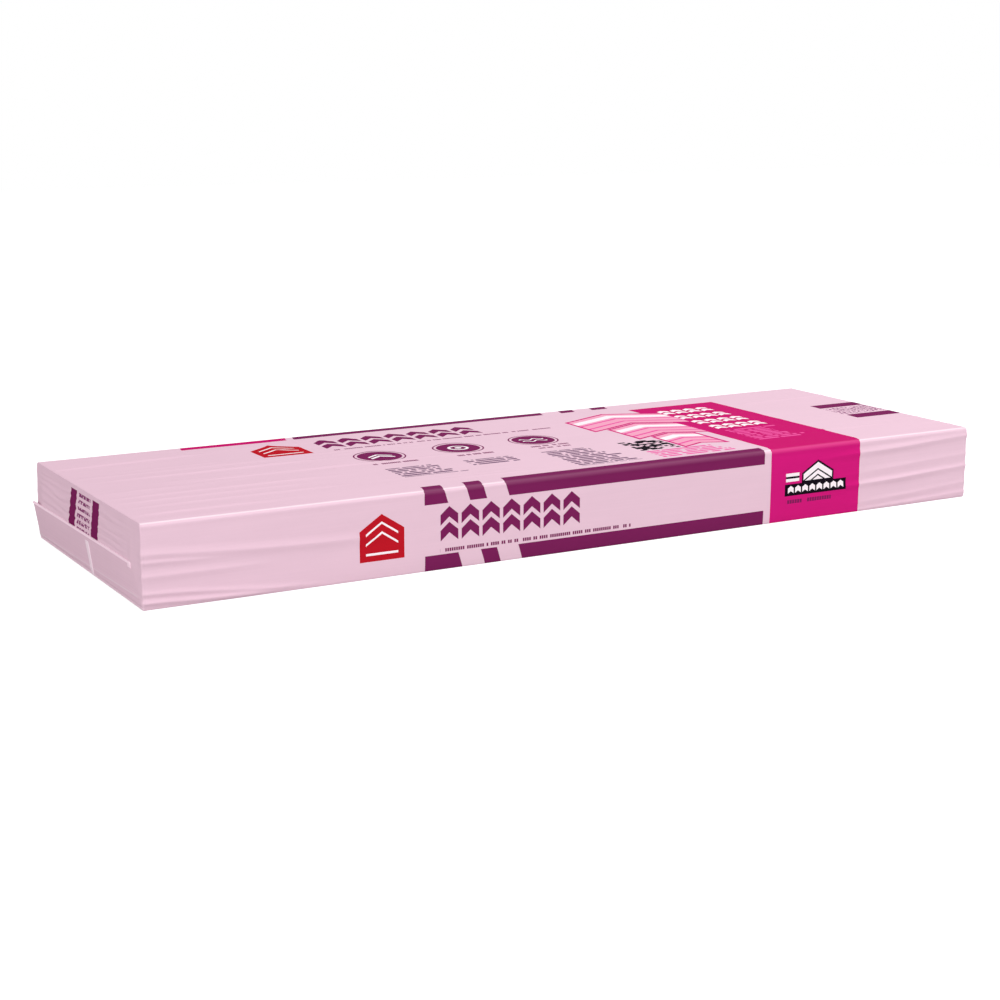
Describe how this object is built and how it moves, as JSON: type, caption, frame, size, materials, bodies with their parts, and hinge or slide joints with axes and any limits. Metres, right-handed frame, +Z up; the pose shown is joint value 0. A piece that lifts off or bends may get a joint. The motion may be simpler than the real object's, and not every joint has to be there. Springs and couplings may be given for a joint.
{
  "type": "asphalt shingle bundle",
  "caption": "Long flat bundle of hip and ridge asphalt shingle sheets in a closed pink printed film wrap, with a folded flap with a hem across each end.",
  "frame": {"origin": "on the floor, under the middle of the bundle", "axes": "+X along the sheets' length, from the end seen at the left in the picture to the other; +Y across the sheets, away from the camera; +Z up, through the stack"},
  "size_m": [0.9378, 0.3054, 0.0765],
  "materials": {
    "shingle": "matte",
    "film": "satin"
  },
  "bodies": {
    "root": {"shingle_sheets": "shingle", "film_wrap": "film"}
  },
  "joints": []
}
